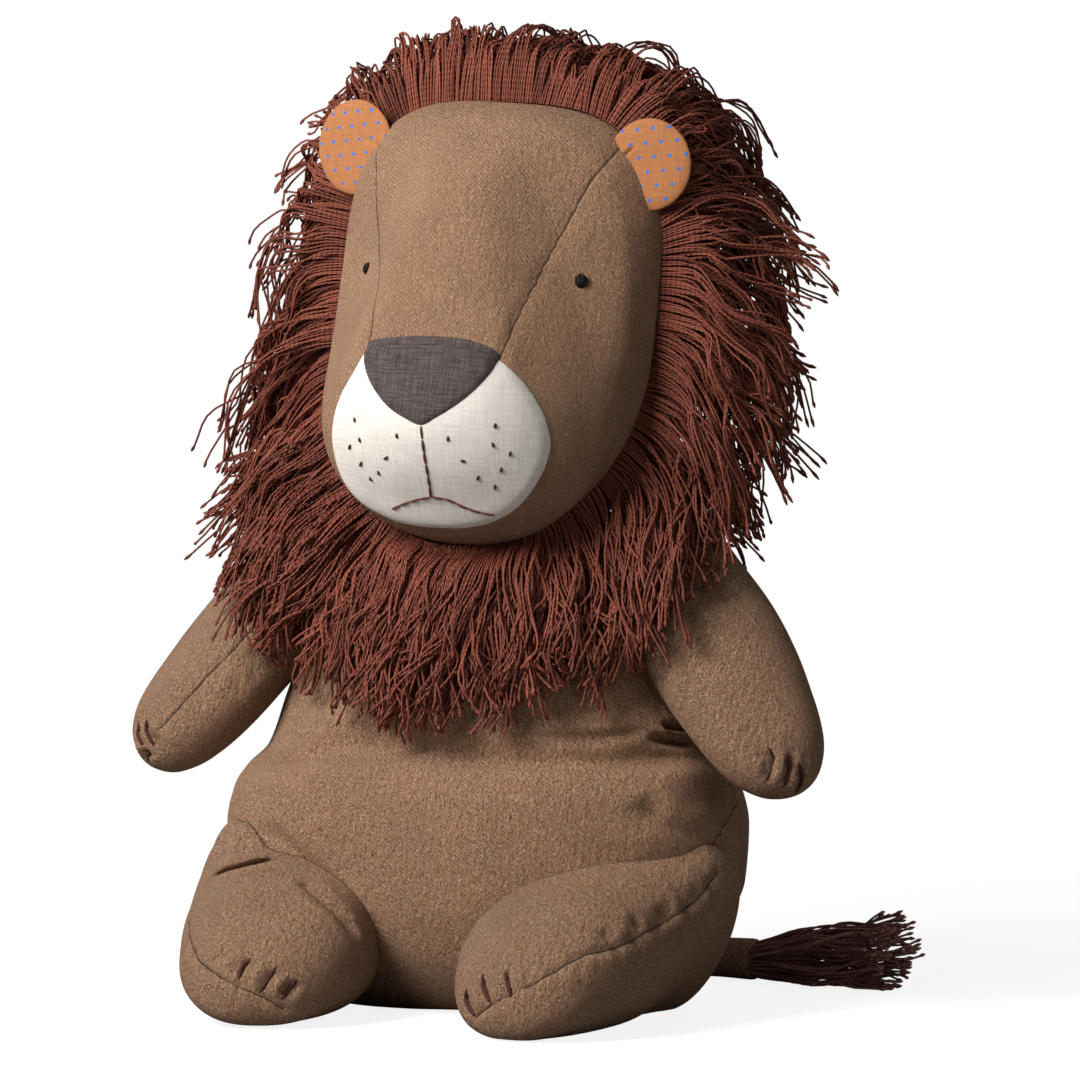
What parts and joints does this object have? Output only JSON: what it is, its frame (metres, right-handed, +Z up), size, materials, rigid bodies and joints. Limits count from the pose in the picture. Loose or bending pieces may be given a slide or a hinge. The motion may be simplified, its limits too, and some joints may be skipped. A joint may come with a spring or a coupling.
{
  "type": "plush lion",
  "caption": "Sitting stuffed lion of brown cloth with a yarn mane, linen muzzle, dotted ears, stitched claws and a tufted tail; head, limbs and tail turn on sewn joints.",
  "frame": {"origin": "point on the flat seat under the torso, on the floor, in the lion's middle plane", "axes": "+Z up, -Y the way the lion faces, +X its own left side"},
  "size_m": [0.2504, 0.1964, 0.3272],
  "materials": {
    "brown_cloth": "brushed cotton and linen twill with light flecks, matt",
    "white_linen": "off-white plain-weave linen, matt",
    "charcoal_linen": "charcoal plain-weave linen, matt",
    "orange_cotton": "orange cotton with small blue pin dots, matt",
    "auburn_yarn": "twisted auburn cotton yarn, soft sheen",
    "fringe_tape": "woven tape, matt",
    "dark_thread": "dark red-brown embroidery thread, soft sheen",
    "black_thread": "black embroidery thread, soft sheen",
    "wadding": "white polyester filling"
  },
  "bodies": {
    "torso": {"torso_cover": "brown_cloth", "torso_stuffing": "wadding"},
    "head": {"head_cover": "brown_cloth", "head_stuffing": "wadding", "muzzle_patch": "white_linen", "nose_patch": "charcoal_linen", "mouth_line": "dark_thread", "mouth_corner_left": "dark_thread", "mouth_corner_right": "dark_thread", "eye_knot_left": "black_thread", "eye_knot_right": "black_thread", "ear_front_left": "orange_cotton", "ear_back_left": "brown_cloth", "ear_front_right": "orange_cotton", "ear_back_right": "brown_cloth", "mane_tape": "fringe_tape", "mane_crown": "auburn_yarn", "mane_brow_left": "auburn_yarn", "mane_brow_right": "auburn_yarn", "mane_temple_left": "auburn_yarn", "mane_temple_right": "auburn_yarn", "mane_cheek_left": "auburn_yarn", "mane_cheek_right": "auburn_yarn", "mane_jaw_left": "auburn_yarn", "mane_jaw_right": "auburn_yarn", "mane_shoulder_left": "auburn_yarn", "mane_shoulder_right": "auburn_yarn", "mane_bib": "auburn_yarn"},
    "arm_left": {"arm_cover_left": "brown_cloth", "arm_stuffing_left": "wadding", "claw_arm_left_1": "dark_thread", "claw_arm_left_2": "dark_thread", "claw_arm_left_3": "dark_thread"},
    "arm_right": {"arm_cover_right": "brown_cloth", "arm_stuffing_right": "wadding", "claw_arm_right_1": "dark_thread", "claw_arm_right_2": "dark_thread", "claw_arm_right_3": "dark_thread"},
    "leg_left": {"leg_cover_left": "brown_cloth", "leg_stuffing_left": "wadding", "claw_leg_left_1": "dark_thread", "claw_leg_left_2": "dark_thread", "claw_leg_left_3": "dark_thread"},
    "leg_right": {"leg_cover_right": "brown_cloth", "leg_stuffing_right": "wadding", "claw_leg_right_1": "dark_thread", "claw_leg_right_2": "dark_thread", "claw_leg_right_3": "dark_thread"},
    "tail": {"tail_cover": "brown_cloth", "tail_stuffing": "wadding", "tail_tuft": "auburn_yarn"}
  },
  "joints": [
    {"name": "neck_turn", "type": "hinge", "parent": "torso", "child": "head", "pos_m": [0, -0.01, 0.157], "axis": [0, 0, 1], "range_deg": [-25, 25], "deforming": ["mane_bib", "mane_shoulder_left", "mane_shoulder_right", "mane_jaw_left", "mane_jaw_right"]},
    {"name": "shoulder_left", "type": "hinge", "parent": "torso", "child": "arm_left", "pos_m": [0.061, -0.008, 0.147], "axis": [-1, 0, 0], "range_deg": [-15, 50], "deforming": ["mane_bib", "mane_shoulder_left", "mane_jaw_left"]},
    {"name": "shoulder_right", "type": "hinge", "parent": "torso", "child": "arm_right", "pos_m": [-0.061, -0.008, 0.147], "axis": [-1, 0, 0], "range_deg": [-15, 50], "deforming": ["mane_bib", "mane_shoulder_right", "mane_jaw_right"]},
    {"name": "hip_left", "type": "hinge", "parent": "torso", "child": "leg_left", "pos_m": [0.061, -0.027, 0.032], "axis": [-1, 0, 0], "range_deg": [-35, 10]},
    {"name": "hip_right", "type": "hinge", "parent": "torso", "child": "leg_right", "pos_m": [-0.061, -0.027, 0.032], "axis": [-1, 0, 0], "range_deg": [-35, 10]},
    {"name": "tail_swing", "type": "hinge", "parent": "torso", "child": "tail", "pos_m": [0, 0.036, 0.0074], "axis": [0, 0, 1], "range_deg": [-5, 40]}
  ]
}
